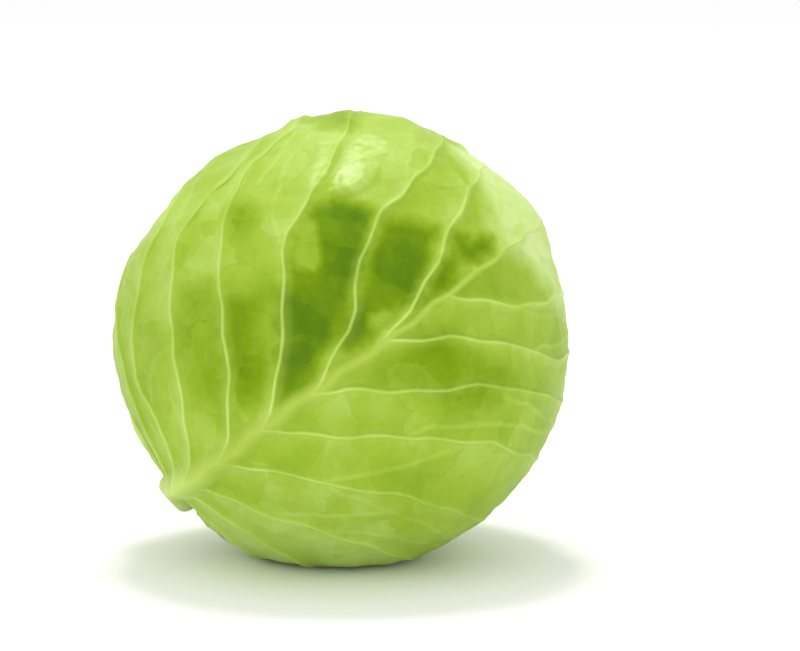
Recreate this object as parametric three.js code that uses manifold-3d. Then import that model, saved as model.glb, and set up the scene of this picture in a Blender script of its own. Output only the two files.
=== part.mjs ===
// A round green cabbage head, picked and trimmed, lying on its side with the cut stalk at the lower left.
// Six loose outer leaves wrap a dense inner head. Every leaf grows from the stalk and each lies under
// the one before it. Millimetres, +Z up, the origin in the middle of the small flat spot that it rests on.

import * as THREE from "three";
import { mergeVertices } from "three/addons/utils/BufferGeometryUtils.js";
import Module from "manifold-3d";

const wasm = await Module();
wasm.setup();

// Driving sizes, in millimetres
const HEAD_RADIUS = 90;
const CENTRE_HEIGHT = 84.5; // the middle of the head above the surface that it lies on
const SEAT_SOFTNESS = 4; // how gently the flattened spot runs into the round side
const LEAF_THICKNESS = 1;
const MARGIN_THICKNESS = 0.75;
const LEAF_PITCH = 3; // from the outside of one leaf to the outside of the leaf under it
const STALK_RADIUS = 8.8;
const STALK_END = 91.6; // the cut face of the stalk, from the middle of the head
const FIT_GAP = 0.35; // between pieces that touch

// How the head lies, in degrees
const CROWN_TILT = 41.6; // the crown is raised by this from level
const CROWN_TURN = 9; // and swung this far to the back

// The angle over which a covering leaf's edge is felt by the leaf under it, in degrees
const COVER_FULL = 5;
const COVER_GONE = 20;

const RADIANS = Math.PI / 180;
const MM_PER_DEGREE = HEAD_RADIUS * RADIANS;

const crown = new THREE.Vector3(
  Math.cos(CROWN_TILT * RADIANS) * Math.cos(CROWN_TURN * RADIANS),
  Math.cos(CROWN_TILT * RADIANS) * Math.sin(CROWN_TURN * RADIANS),
  Math.sin(CROWN_TILT * RADIANS),
);
const stalkward = crown.clone().negate();
const front = new THREE.Vector3(0, -1, 0).addScaledVector(crown, crown.y).normalize();
const under = crown.clone().cross(front);
const centre = new THREE.Vector3(0, 0, CENTRE_HEIGHT);

// Broad swellings and flats of this head: which way they face, how far they rise and how wide they are
const SWELLINGS = [
  { toward: [0.82, 0.0, 0.57], rise: 3.6, spread: 13 },
  { toward: [0.26, 0.0, 0.97], rise: 2.8, spread: 11 },
  { toward: [-0.48, 0.0, 0.88], rise: -0.9, spread: 22 },
  { toward: [-0.87, 0.0, 0.48], rise: -1.4, spread: 10 },
  { toward: [-0.91, 0.0, -0.42], rise: -2.6, spread: 13 },
  { toward: [-0.42, 0.0, -0.91], rise: 2.2, spread: 12 },
  { toward: [0.2, -0.95, 0.3], rise: -1.6, spread: 24 },
  { toward: [0.5, 0.86, -0.1], rise: 2.0, spread: 24 },
  { toward: [-0.5, 0.8, 0.2], rise: -1.8, spread: 20 },
].map((s) => ({ ...s, toward: new THREE.Vector3(...s.toward).normalize() }));
const NECK = { dip: 3, at: 7, spread: 5.5 }; // the hollow round the stalk, in degrees from it

const clamp01 = (v) => Math.min(1, Math.max(0, v));
const smoothstep = (low, high, v) => {
  const t = clamp01((v - low) / (high - low));
  return t * t * (3 - 2 * t);
};
const angleBetween = (a, b) => Math.acos(Math.min(1, Math.max(-1, a.dot(b)))) / RADIANS;

// The head's round outer form along direction u, before it settles on the surface
function plumpRadius(u) {
  let r = HEAD_RADIUS;
  r += 0.6 * Math.sin(3.3 * u.x + 0.6) * Math.cos(2.9 * u.y - 0.4);
  r += 0.5 * Math.sin(4.7 * u.z + 2.1 * u.x + 1.7);
  r += 0.4 * Math.cos(6.1 * u.y + 3.7 * u.z);
  for (const s of SWELLINGS) r += s.rise * Math.exp(-((angleBetween(u, s.toward) / s.spread) ** 2));
  const fromStalk = angleBetween(u, stalkward);
  return r - NECK.dip * Math.exp(-(((fromStalk - NECK.at) / NECK.spread) ** 2));
}

// How far the surface that it lies on cuts into that form along u: over 0 where the head is flattened
function pressedIn(u) {
  return u.z < -0.1 ? plumpRadius(u) - CENTRE_HEIGHT / -u.z : -HEAD_RADIUS;
}

// The head's outer form with its flat spot: a smooth minimum of the round form and the surface
function headRadius(u) {
  const round = plumpRadius(u);
  const press = pressedIn(u);
  const blend = Math.max(SEAT_SOFTNESS - Math.abs(press), 0) / SEAT_SOFTNESS;
  return round - Math.max(press, 0) - (blend * blend * SEAT_SOFTNESS) / 4;
}

// 1 where the surface is free, 0 on the flat spot
const freeOfSeat = (u) => 1 - smoothstep(-SEAT_SOFTNESS, SEAT_SOFTNESS, pressedIn(u));

// A smooth line through [across, along] points, spaced evenly from 0 to 1
function lineThrough(points) {
  const curve = new THREE.SplineCurve(points.map((p) => new THREE.Vector2(...p)));
  return (s) => curve.getPoint(s);
}

// The nearest distance from point p to a run of points
function distanceTo(line, p) {
  let nearest = Infinity;
  for (let i = 0; i + 1 < line.length; i++) {
    const a = line[i];
    const b = line[i + 1];
    const dx = b.x - a.x;
    const dy = b.y - a.y;
    const share = clamp01(((p.x - a.x) * dx + (p.y - a.y) * dy) / (dx * dx + dy * dy + 1e-12));
    nearest = Math.min(nearest, Math.hypot(p.x - a.x - share * dx, p.y - a.y - share * dy));
  }
  return nearest;
}

function isInside(loop, p) {
  let inside = false;
  for (let i = 0, j = loop.length - 1; i < loop.length; j = i++) {
    const a = loop[i];
    const b = loop[j];
    if (a.y > p.y !== b.y > p.y && p.x < ((b.x - a.x) * (p.y - a.y)) / (b.y - a.y) + a.x) inside = !inside;
  }
  return inside;
}

// A leaf is drawn flat, in degrees of arc on the head: across its midrib, and along it towards the crown.
// The stalk is at -90 along and the crown at +90. Each row of points follows a side vein, from where it
// leaves the midrib to its end on the margin.
const FRONT_LEFT = [
  [[-1, -83.5], [-3, -83.7], [-6, -84], [-8, -85], [-11, -85.5], [-13, -86]],
  [[-3, -78], [-9, -80], [-16, -81.5], [-24, -82], [-33, -82], [-42, -81]],
  [[-4, -75], [-12, -74], [-24, -74], [-38, -73], [-54, -70], [-71, -64]],
  [[-4, -72], [-20, -67], [-36, -63], [-53, -57], [-70, -50], [-86, -40]],
  [[-4, -68], [-20, -57], [-42, -53], [-65, -29], [-78, -9], [-94, -2]],
  [[-4, -60], [-22, -43], [-47, -27], [-62, -11], [-69, 17], [-88, 38]],
  [[-4, -44], [-18, -27], [-42, -11], [-61, 10], [-69, 35], [-80, 53]],
  [[-4, -29], [-13, -14], [-36, 8], [-44, 29], [-55, 51], [-66, 72]],
  [[-3, -13], [-8, 3], [-23, 26], [-25, 46], [-28, 64], [-34, 86]],
  [[0, 9], [-3, 26], [-8, 42], [-12, 59], [-14, 77], [-15, 95]],
  [[3, 30], [2, 45], [0, 60], [-2, 73], [-2, 87], [-2, 99]],
  [[9, 60], [9, 68], [9, 77], [8, 85], [8, 93], [8, 100]],
  [[18, 92], [17.5, 93], [17, 94.5], [16, 96], [15.5, 97], [15, 99]],
];
const FRONT_RIGHT = [
  [[-1, -83.5], [1, -84], [3, -84.5], [4, -85]],
  [[-3, -78], [1, -79], [5, -80], [9, -81]],
  [[-4, -75], [5, -77], [17, -82], [32, -90]],
  [[-4, -72], [14, -70], [38, -75], [64, -88]],
  [[-4, -68], [14, -60], [44, -58], [86, -66]],
  [[-4, -60], [16, -47], [48, -33], [94, -32]],
  [[-4, -44], [16, -28], [46, -10], [96, -2]],
  [[-4, -29], [15, -10], [42, 12], [90, 28]],
  [[-3, -13], [12, 4], [37, 28], [80, 50]],
  [[0, 9], [20, 30], [46, 47], [66, 69]],
  [[3, 30], [20, 43], [36, 66], [50, 83]],
  [[9, 60], [15, 69], [24, 80], [34, 92]],
  [[18, 92], [19, 94], [20, 96], [20, 99]],
];
const FRONT_LEAF = {
  sides: [FRONT_LEFT, FRONT_RIGHT],
  veins: [[3, 4, 5, 6, 7, 8, 9], [3, 4, 5, 6, 7, 8, 9, 10]],
};

// Rows that all arch alike from the midrib to the margin
function archedRows(midrib, margin, arch) {
  return midrib.map(([mx, my], i) => {
    const [ex, ey] = margin[i];
    const cx = (mx + ex) / 2;
    const cy = (my + ey) / 2 - arch * Math.hypot(ex - mx, ey - my);
    const way = (t) => [
      (1 - t) ** 2 * mx + 2 * t * (1 - t) * cx + t * t * ex,
      (1 - t) ** 2 * my + 2 * t * (1 - t) * cy + t * t * ey,
    ];
    return [[mx, my], way(1 / 3), way(2 / 3), [ex, ey]];
  });
}
const WRAPPER_ARCH = 0.14;
const WRAPPER_MIDRIB = [[0, -83], [0, -78], [1, -74], [1, -69], [2, -61], [2, -49], [2, -35], [1, -19],
  [0, 3], [-1, 29], [-1, 54], [-1, 78]];
const WRAPPER_LEFT = [[-8, -83], [-25, -80], [-47, -70], [-66, -52], [-79, -28], [-84, 0], [-78, 29],
  [-61, 55], [-40, 71], [-20, 80], [-8, 84], [-4, 85]];
const WRAPPER_RIGHT = [[8, -83], [25, -80], [47, -70], [66, -52], [79, -28], [84, 0], [78, 29], [61, 55],
  [40, 71], [20, 80], [8, 84], [2, 85]];
const WRAPPER_LEAF = {
  sides: [WRAPPER_LEFT, WRAPPER_RIGHT].map((margin) => archedRows(WRAPPER_MIDRIB, margin, WRAPPER_ARCH)),
  veins: [[2.6, 3.6, 4.6, 5.6, 6.6, 7.6, 8.6, 9.6], [2.9, 4.1, 5.1, 6.1, 7.1, 8.1, 9.1, 10]],
};

// The six loose leaves from the outermost in: how far round the stalk each grows from the front, its
// breadth and reach against the drawn leaf, how its margin ripples, and how finely its surface is split
const LEAVES = [
  { name: "leaf_1_front", form: FRONT_LEAF, round: 0, breadth: 1, reach: 1,
    ripples: 9, rows: 30, columns: 11 },
  { name: "leaf_2_back", form: WRAPPER_LEAF, round: -137, breadth: 0.95, reach: 1,
    ripples: 7, rows: 22, columns: 9 },
  { name: "leaf_3_under", form: WRAPPER_LEAF, round: 74, breadth: 0.96, reach: 0.95,
    ripples: 8, rows: 26, columns: 10 },
  { name: "leaf_4_top", form: WRAPPER_LEAF, round: -62, breadth: 0.86, reach: 1.03,
    ripples: 6, rows: 22, columns: 10 },
  { name: "leaf_5_rear", form: WRAPPER_LEAF, round: 158, breadth: 0.9, reach: 1.02,
    ripples: 7, rows: 24, columns: 10 },
  { name: "leaf_6_inner", form: WRAPPER_LEAF, round: 28, breadth: 0.8, reach: 1,
    ripples: 5, rows: 20, columns: 9 },
];

// The midrib stands out of the leaf's outer face: its height and half width from stalk to tip
const MIDRIB_HEIGHT = [4.6, 4.2, 3.2, 2.2, 1.4, 1.0, 0.7, 0.5, 0.3];
const MIDRIB_HALF_WIDTH = [9.5, 7.4, 5.4, 3.8, 2.6, 1.8, 1.4, 1.1, 1.0];
const MIDRIB_BASE = -81; // where these start along the leaf, and the length that they cover
const MIDRIB_LENGTH = 165;
const VEIN_HEIGHT = 0.4;
const VEIN_HALF_WIDTH = 1.3;
const PANEL_HALF_WIDTH = 9; // the blade lies flat between veins that stand this far from its middle
const MARGIN_LIFT = 2.4; // how far the rippled margin stands off
// Shares of the way from the midrib to the margin from which the ribs sink into the blade, the blade
// thins, and the margin ripples; and shares of the leaf's length over which the ripples set in
const RIB_FADE = 0.5;
const THIN_FROM = 0.75;
const RIPPLED_FROM = 0.8;
const RIPPLES_START = 0.1;
const RIPPLES_FULL = 0.3;
const WANDER = 0.6; // how far the veins wander from their drawn rows, in degrees

function profileAt(values, along) {
  const at = clamp01((along - MIDRIB_BASE) / MIDRIB_LENGTH) * (values.length - 1);
  const low = Math.min(Math.floor(at), values.length - 2);
  return values[low] + (values[low + 1] - values[low]) * (at - low);
}

// Small natural bends in a leaf's drawing, none where it grows from the stalk
function wandering(p) {
  const share = WANDER * smoothstep(-84, -50, p.y);
  return new THREE.Vector2(
    p.x + share * Math.sin(0.43 * p.y + 0.13 * p.x),
    p.y + share * Math.sin(0.37 * p.x - 0.11 * p.y),
  );
}

// A leaf drawn from its form, with the functions that place it on the head
function makeLeaf({ name, form, round, breadth, reach, ripples, rows, columns }) {
  const middle = front.clone().multiplyScalar(Math.cos(round * RADIANS))
    .addScaledVector(under, Math.sin(round * RADIANS));
  const across = under.clone().multiplyScalar(Math.cos(round * RADIANS))
    .addScaledVector(front, -Math.sin(round * RADIANS));
  const sized = ([x, y]) => [x * breadth, y > 0 ? y * reach : y];
  const columnLines = form.sides.map((rowsOfSide) =>
    rowsOfSide[0].map((_, k) => lineThrough(rowsOfSide.map((row) => sized(row[k])))));

  // A point at share s from stalk to tip and share t from the midrib to the margin
  function sideways(side, s, t) {
    return wandering(new THREE.SplineCurve(columnLines[side].map((line) => line(s))).getPoint(t));
  }
  const midrib = (s) => sideways(0, s, 0);
  const margins = [(s) => sideways(0, s, 1), (s) => sideways(1, s, 1)];

  // From the flat drawing to a direction on the head, and back
  function directionOf(p) {
    const far = Math.hypot(p.x, p.y) * RADIANS;
    const scale = far < 1e-9 ? RADIANS : Math.sin(far) / Math.hypot(p.x, p.y);
    return middle.clone().multiplyScalar(Math.cos(far))
      .addScaledVector(across, p.x * scale).addScaledVector(crown, p.y * scale);
  }
  function drawingOf(u) {
    const far = angleBetween(u, middle);
    const x = u.dot(across);
    const y = u.dot(crown);
    const scale = far / Math.max(Math.hypot(x, y), 1e-9);
    return new THREE.Vector2(x * scale, y * scale);
  }

  const EDGE_STEPS = 40;
  const steps = Array.from({ length: EDGE_STEPS + 1 }, (_, i) => i / EDGE_STEPS);
  const edge = [...steps.map((s) => margins[0](s)), ...steps.map((s) => margins[1](1 - s))];
  const closedEdge = [...edge, edge[0]];
  const midribLine = steps.map((s) => midrib(s));
  const last = form.sides[0].length - 1;
  const veinLines = form.veins.flatMap((rowsOfVeins, side) => rowsOfVeins.map((row) =>
    steps.filter((_, i) => i % 5 === 0).map((t) => sideways(side, row / last, t))));

  // 1 under or in the leaf, falling to 0 a little way outside its edge
  function coverage(u) {
    if (angleBetween(u, middle) > 150) return 0;
    const p = drawingOf(u);
    if (isInside(edge, p)) return 1;
    return 1 - smoothstep(COVER_FULL, COVER_GONE, distanceTo(closedEdge, p));
  }
  // The blade pulled flat between its veins, against the round head
  function panel(u) {
    const p = drawingOf(u);
    const away = Math.min(
      MM_PER_DEGREE * Math.min(distanceTo(midribLine, p), ...veinLines.map((v) => distanceTo(v, p))),
      PANEL_HALF_WIDTH,
    );
    return (-away * (2 * PANEL_HALF_WIDTH - away)) / (2 * HEAD_RADIUS);
  }
  // What stands out of the outer face alone: the midrib and the side veins
  function ribs(u) {
    const p = drawingOf(u);
    const fromMidrib = (distanceTo(midribLine, p) * MM_PER_DEGREE) / profileAt(MIDRIB_HALF_WIDTH, p.y);
    const nearestVein = Math.min(...veinLines.map((v) => distanceTo(v, p)));
    const fromVein = (nearestVein * MM_PER_DEGREE) / VEIN_HALF_WIDTH;
    const midribRise = profileAt(MIDRIB_HEIGHT, p.y) * (1 - smoothstep(0, 1.25, fromMidrib));
    return Math.max(midribRise, VEIN_HEIGHT * Math.exp(-fromVein * fromVein));
  }
  return { name, rows, columns, ripples, midrib, margins, sideways, directionOf, coverage, panel, ribs };
}

const leaves = LEAVES.map(makeLeaf);

// The level of the head along u once the first `count` leaves are laid on it, and how bare it is there
function levelUnder(count, u) {
  let level = headRadius(u);
  let bare = 1;
  const free = freeOfSeat(u);
  for (const leaf of leaves.slice(0, count)) {
    const covered = leaf.coverage(u);
    if (covered === 0) continue;
    level += covered * (leaf.panel(u) * bare * free - LEAF_PITCH);
    bare *= 1 - covered;
  }
  return { level, bare, free };
}

const onHead = (u, r) => {
  const p = centre.clone().addScaledVector(u, r);
  if (p.z < 1e-3) p.z = 0;
  return p;
};

// How a leaf's surface is split across: the midrib takes at most this share of the way to the margin, and
// its top turns into its flank at this share of its half width
const RIB_SHARE_MOST = 0.42;
const RIB_SHOULDER = 0.55;

// Shares of the way from midrib to margin at which the surface is split, at share s from stalk to tip
function splits(leaf, side, s) {
  const from = leaf.midrib(s);
  const span = Math.max(from.distanceTo(leaf.margins[side](s)), 1e-6);
  const ribShare = Math.min(RIB_SHARE_MOST, profileAt(MIDRIB_HALF_WIDTH, from.y) / MM_PER_DEGREE / span);
  const outer = leaf.columns - 2;
  return [0, ribShare * RIB_SHOULDER, ribShare,
    ...Array.from({ length: outer }, (_, k) => ribShare + ((1 - ribShare) * (k + 1)) / outer)];
}

// The points of a leaf's two faces at share s from stalk to tip and share t from midrib to margin
function bladePoints(leaf, order, side, s, t) {
  const u = leaf.directionOf(leaf.sideways(side, s, t));
  const { level, bare, free } = levelUnder(order, u);
  const ripple = 0.5 + 0.5 * Math.sin(2 * Math.PI * leaf.ripples * s + (side ? 1.1 : 0) + order);
  const rippled = smoothstep(RIPPLED_FROM, 1, t) * smoothstep(RIPPLES_START, RIPPLES_FULL, s);
  const lift = MARGIN_LIFT * ripple * rippled * bare ** 2 * free;
  const face = level + leaf.panel(u) * bare * free + lift;
  const thickness = LEAF_THICKNESS + (MARGIN_THICKNESS - LEAF_THICKNESS) * smoothstep(THIN_FROM, 1, t);
  const ribs = leaf.ribs(u) * (1 - smoothstep(RIB_FADE, 1, t));
  return [onHead(u, face + ribs * bare * free), centre.clone().addScaledVector(u, face - thickness)];
}

// The corners of a sheet of rows and columns in order round its rim
function rimOf(rows, wide) {
  const at = (row, column) => row * (wide + 1) + column;
  const rim = [];
  for (let c = 0; c < wide; c++) rim.push(at(0, c));
  for (let r = 0; r < rows; r++) rim.push(at(r, wide));
  for (let c = wide; c > 0; c--) rim.push(at(rows, c));
  for (let r = rows; r > 0; r--) rim.push(at(r, 0));
  return rim;
}

// A leaf as one thin closed blade: a flat sheet of rows and columns bent onto the head twice, as the
// outer face and the inner face, split into triangles alike, and joined round the rim
function bladeGeometry(leaf, order) {
  const { rows, columns } = leaf;
  const wide = 2 * columns;
  const outer = [];
  const inner = [];
  for (let row = 0; row <= rows; row++) {
    const s = 1 - row / rows; // from the tip down to the stalk
    const shares = [splits(leaf, 0, s), splits(leaf, 1, s)];
    for (let column = 0; column <= wide; column++) {
      const side = column < columns ? 0 : 1;
      const [top, back] = bladePoints(leaf, order, side, s, shares[side][Math.abs(column - columns)]);
      outer.push(top);
      inner.push(back);
    }
  }
  const count = outer.length;
  const triangles = [];
  const faces = new THREE.PlaneGeometry(2, 1, wide, rows).index.array;
  for (let i = 0; i < faces.length; i += 3) {
    const [a, b, c] = [faces[i], faces[i + 1], faces[i + 2]];
    triangles.push(a, b, c, a + count, c + count, b + count);
  }
  rimOf(rows, wide).forEach((a, i, rim) => {
    const b = rim[(i + 1) % rim.length];
    triangles.push(a, b, b + count, a, b + count, a + count);
  });
  const geometry = new THREE.BufferGeometry();
  geometry.setAttribute("position",
    new THREE.Float32BufferAttribute([...outer, ...inner].flatMap((p) => p.toArray()), 3));
  geometry.setIndex(triangles);
  return geometry;
}

// Solids for cutting one piece by another
function solidOf(geometry) {
  const bare = new THREE.BufferGeometry();
  bare.setAttribute("position", geometry.getAttribute("position"));
  bare.setIndex(geometry.index);
  const merged = mergeVertices(bare, 1e-4);
  return new wasm.Manifold(new wasm.Mesh({
    numProp: 3,
    vertProperties: new Float32Array(merged.attributes.position.array),
    triVerts: new Uint32Array(merged.index.array),
  }));
}

function geometryOf(solid) {
  const mesh = solid.getMesh();
  const geometry = new THREE.BufferGeometry();
  geometry.setAttribute("position", new THREE.Float32BufferAttribute(mesh.vertProperties, 3));
  geometry.setIndex(new THREE.Uint32BufferAttribute(mesh.triVerts, 1));
  geometry.computeVertexNormals();
  return geometry;
}

// The stalk: a round tapering core inside the head that ends in the trimmed stub outside it.
// Each pair is a radius and a distance from the middle of the head.
const STALK_CORE = [[0, 6], [3.5, 8], [6, 26], [7.4, 50], [8.2, 70]];
const STALK_STUB = [[STALK_RADIUS, 86], [STALK_RADIUS - 0.6, 88.6], [STALK_RADIUS - 1.7, 90.4],
  [STALK_RADIUS - 3.2, STALK_END], [0, STALK_END]];
const CUTTER_STUB = [[STALK_RADIUS, 84], [STALK_RADIUS, STALK_END + 6], [0, STALK_END + 6]];
const STALK_SIDES = 26;
const MADE_ROUND = new THREE.Vector3(0, 1, 0); // the axis of lathes and spheres as they are made

function stalkGeometry(outline) {
  const profile = outline.map(([r, along]) => new THREE.Vector2(r, along));
  const geometry = new THREE.LatheGeometry(profile, STALK_SIDES);
  geometry.applyQuaternion(new THREE.Quaternion().setFromUnitVectors(MADE_ROUND, stalkward));
  geometry.translate(centre.x, centre.y, centre.z);
  return geometry;
}

// The dense inner head, its surface stepped where its own closed leaves overlap
const INNER_STEP = 1.1; // how far each closed leaf stands over the next
const INNER_GAP = 2.9; // between the level under the loose leaves and the inner head
const INNER_RIB_SHARE = 0.35; // how much of a loose leaf's ribs the closed leaves show
const INNER_SECTORS = 40;
const INNER_RINGS = 26;
const innerFolds = [70, -40, -165, 10, 120].map((round, k) =>
  makeLeaf({ ...LEAVES[3], round, breadth: 0.86, reach: 0.92 + 0.04 * k }));

function innerHeadGeometry() {
  const geometry = new THREE.SphereGeometry(1, INNER_SECTORS, INNER_RINGS);
  geometry.applyQuaternion(new THREE.Quaternion().setFromUnitVectors(MADE_ROUND, crown));
  const positions = geometry.getAttribute("position");
  for (let i = 0; i < positions.count; i++) {
    const u = new THREE.Vector3().fromBufferAttribute(positions, i).normalize();
    const { level, free } = levelUnder(leaves.length, u);
    let folds = 0;
    let open = 1;
    for (const fold of innerFolds) {
      const inside = smoothstep(0.45, 0.95, fold.coverage(u));
      folds += INNER_STEP * (inside - 1);
      folds += fold.ribs(u) * INNER_RIB_SHARE * inside * open;
      open *= 1 - inside;
    }
    const p = centre.clone().addScaledVector(u, level - INNER_GAP + folds * free);
    positions.setXYZ(i, p.x, p.y, p.z);
  }
  geometry.deleteAttribute("normal");
  geometry.deleteAttribute("uv");
  return mergeVertices(geometry, 1e-3);
}

// Put together
const cutterOutline = [...STALK_CORE, ...CUTTER_STUB].map(([r, along], i) =>
  (i === 0 ? [0, along - FIT_GAP] : [r > 0 ? r + FIT_GAP : 0, along]));
const stalkCutter = solidOf(stalkGeometry(cutterOutline));
const cabbage = new THREE.Group();
cabbage.name = "cabbage_head";

const leafGreen = (colour, roughness) =>
  new THREE.MeshStandardMaterial({ color: colour, roughness, metalness: 0, side: THREE.FrontSide });
const COLOURS = [0x9cc94f, 0xa6cf5c, 0x98c24b, 0xaed56a, 0xa2cb58, 0xb6d977];

leaves.forEach((leaf, order) => {
  const cut = solidOf(bladeGeometry(leaf, order)).subtract(stalkCutter);
  const mesh = new THREE.Mesh(geometryOf(cut), leafGreen(COLOURS[order], 0.45));
  mesh.name = leaf.name;
  cabbage.add(mesh);
});

const inner = new THREE.Mesh(
  geometryOf(solidOf(innerHeadGeometry()).subtract(stalkCutter)),
  leafGreen(0xd3e49a, 0.5),
);
inner.name = "inner_head";
cabbage.add(inner);

const stalk = new THREE.Mesh(
  geometryOf(solidOf(stalkGeometry([...STALK_CORE, ...STALK_STUB]))),
  leafGreen(0xdde6b4, 0.6),
);
stalk.name = "stalk";
cabbage.add(stalk);

export default cabbage;
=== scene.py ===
# A round green cabbage head, picked and trimmed, lying on its side on a pale floor. Its loose outer
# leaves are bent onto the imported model's form, with their veins, ripples and waxy skin.

import math

import bpy
import numpy as np
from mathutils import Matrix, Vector


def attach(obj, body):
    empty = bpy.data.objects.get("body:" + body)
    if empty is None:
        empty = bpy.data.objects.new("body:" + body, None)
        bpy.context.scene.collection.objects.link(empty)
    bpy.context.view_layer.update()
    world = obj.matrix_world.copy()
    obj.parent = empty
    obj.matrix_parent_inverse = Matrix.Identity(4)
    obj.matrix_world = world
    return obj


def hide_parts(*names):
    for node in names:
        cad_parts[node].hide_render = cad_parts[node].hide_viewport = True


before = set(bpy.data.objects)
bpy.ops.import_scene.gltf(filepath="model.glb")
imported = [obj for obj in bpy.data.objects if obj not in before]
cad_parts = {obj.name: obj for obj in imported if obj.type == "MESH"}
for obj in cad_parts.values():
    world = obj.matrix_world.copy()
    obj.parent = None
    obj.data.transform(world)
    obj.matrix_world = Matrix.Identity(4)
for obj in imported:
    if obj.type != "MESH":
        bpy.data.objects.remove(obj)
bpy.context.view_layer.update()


# The six loose outer leaves. Each is one thin, waxy blade that grows from the stalk with a thick pale
# midrib, wraps the head and lies under the leaf before it. Between its veins the blade is pulled nearly
# flat, and its margin is rippled and slightly torn.

HEAD_RADIUS = 90.0  # in millimetres, as all sizes here until a piece is placed
CENTRE_HEIGHT = 84.5
SEAT_SOFTNESS = 4.0
LEAF_PITCH = 3.0
BLADE_THICKNESS = 0.8
MM_PER_DEGREE = HEAD_RADIUS * math.pi / 180
COVER_FULL = 5.0
COVER_GONE = 20.0
CROWN_TILT = math.radians(41.6)
CROWN_TURN = math.radians(9)

crown = np.array([
    math.cos(CROWN_TILT) * math.cos(CROWN_TURN),
    math.cos(CROWN_TILT) * math.sin(CROWN_TURN),
    math.sin(CROWN_TILT),
])
front = np.array([0.0, -1.0, 0.0]) + crown * crown[1]
front /= np.linalg.norm(front)
under = np.cross(crown, front)

# Which way each swelling or flat of the head faces, its rise and its spread in degrees
SWELLINGS = [
    ((0.82, 0.0, 0.57), 3.6, 13),
    ((0.26, 0.0, 0.97), 2.8, 11),
    ((-0.48, 0.0, 0.88), -0.9, 22),
    ((-0.87, 0.0, 0.48), -1.4, 10),
    ((-0.91, 0.0, -0.42), -2.6, 13),
    ((-0.42, 0.0, -0.91), 2.2, 12),
    ((0.2, -0.95, 0.3), -1.6, 24),
    ((0.5, 0.86, -0.1), 2.0, 24),
    ((-0.5, 0.8, 0.2), -1.8, 20),
]
NECK_DIP, NECK_AT, NECK_SPREAD = 3.0, 7, 5.5


def smoothstep(low, high, value):
    t = np.clip((value - low) / (high - low), 0, 1)
    return t * t * (3 - 2 * t)


def degrees_between(u, direction):
    return np.degrees(np.arccos(np.clip(u @ np.asarray(direction), -1, 1)))


def plump_radius(u):
    x, y, z = u.T
    r = HEAD_RADIUS + 0.6 * np.sin(3.3 * x + 0.6) * np.cos(2.9 * y - 0.4)
    r = r + 0.5 * np.sin(4.7 * z + 2.1 * x + 1.7) + 0.4 * np.cos(6.1 * y + 3.7 * z)
    for toward, rise, spread in SWELLINGS:
        toward = np.array(toward) / np.linalg.norm(toward)
        r = r + rise * np.exp(-((degrees_between(u, toward) / spread) ** 2))
    from_stalk = degrees_between(u, -crown)
    return r - NECK_DIP * np.exp(-(((from_stalk - NECK_AT) / NECK_SPREAD) ** 2))


def pressed_in(u):
    down = np.minimum(u[:, 2], -0.1)
    return np.where(u[:, 2] < -0.1, plump_radius(u) + CENTRE_HEIGHT / down, -HEAD_RADIUS)


def head_radius(u):
    press = pressed_in(u)
    blend = np.maximum(SEAT_SOFTNESS - np.abs(press), 0) / SEAT_SOFTNESS
    return plump_radius(u) - np.maximum(press, 0) - blend * blend * SEAT_SOFTNESS / 4


def free_of_seat(u):
    return 1 - smoothstep(-SEAT_SOFTNESS, SEAT_SOFTNESS, pressed_in(u))


# A leaf is drawn flat, in degrees of arc across and along the head, with the stalk at -90 along and the
# crown at +90. Each row follows one side vein, from where it leaves the midrib to its end on the margin.
FRONT_LEFT = [
    [(-1, -83.5), (-3, -83.7), (-6, -84), (-8, -85), (-11, -85.5), (-13, -86)],
    [(-3, -78), (-9, -80), (-16, -81.5), (-24, -82), (-33, -82), (-42, -81)],
    [(-4, -75), (-12, -74), (-24, -74), (-38, -73), (-54, -70), (-71, -64)],
    [(-4, -72), (-20, -67), (-36, -63), (-53, -57), (-70, -50), (-86, -40)],
    [(-4, -68), (-20, -57), (-42, -53), (-65, -29), (-78, -9), (-94, -2)],
    [(-4, -60), (-22, -43), (-47, -27), (-62, -11), (-69, 17), (-88, 38)],
    [(-4, -44), (-18, -27), (-42, -11), (-61, 10), (-69, 35), (-80, 53)],
    [(-4, -29), (-13, -14), (-36, 8), (-44, 29), (-55, 51), (-66, 72)],
    [(-3, -13), (-8, 3), (-23, 26), (-25, 46), (-28, 64), (-34, 86)],
    [(0, 9), (-3, 26), (-8, 42), (-12, 59), (-14, 77), (-15, 95)],
    [(3, 30), (2, 45), (0, 60), (-2, 73), (-2, 87), (-2, 99)],
    [(9, 60), (9, 68), (9, 77), (8, 85), (8, 93), (8, 100)],
    [(18, 92), (17.5, 93), (17, 94.5), (16, 96), (15.5, 97), (15, 99)],
]
FRONT_RIGHT = [
    [(-1, -83.5), (1, -84), (3, -84.5), (4, -85)],
    [(-3, -78), (1, -79), (5, -80), (9, -81)],
    [(-4, -75), (5, -77), (17, -82), (32, -90)],
    [(-4, -72), (14, -70), (38, -75), (64, -88)],
    [(-4, -68), (14, -60), (44, -58), (86, -66)],
    [(-4, -60), (16, -47), (48, -33), (94, -32)],
    [(-4, -44), (16, -28), (46, -10), (96, -2)],
    [(-4, -29), (15, -10), (42, 12), (90, 28)],
    [(-3, -13), (12, 4), (37, 28), (80, 50)],
    [(0, 9), (20, 30), (46, 47), (66, 69)],
    [(3, 30), (20, 43), (36, 66), (50, 83)],
    [(9, 60), (15, 69), (24, 80), (34, 92)],
    [(18, 92), (19, 94), (20, 96), (20, 99)],
]
FRONT_VEINS = ([3, 4, 5, 6, 7, 8, 9], [3, 4, 5, 6, 7, 8, 9, 10])
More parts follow.
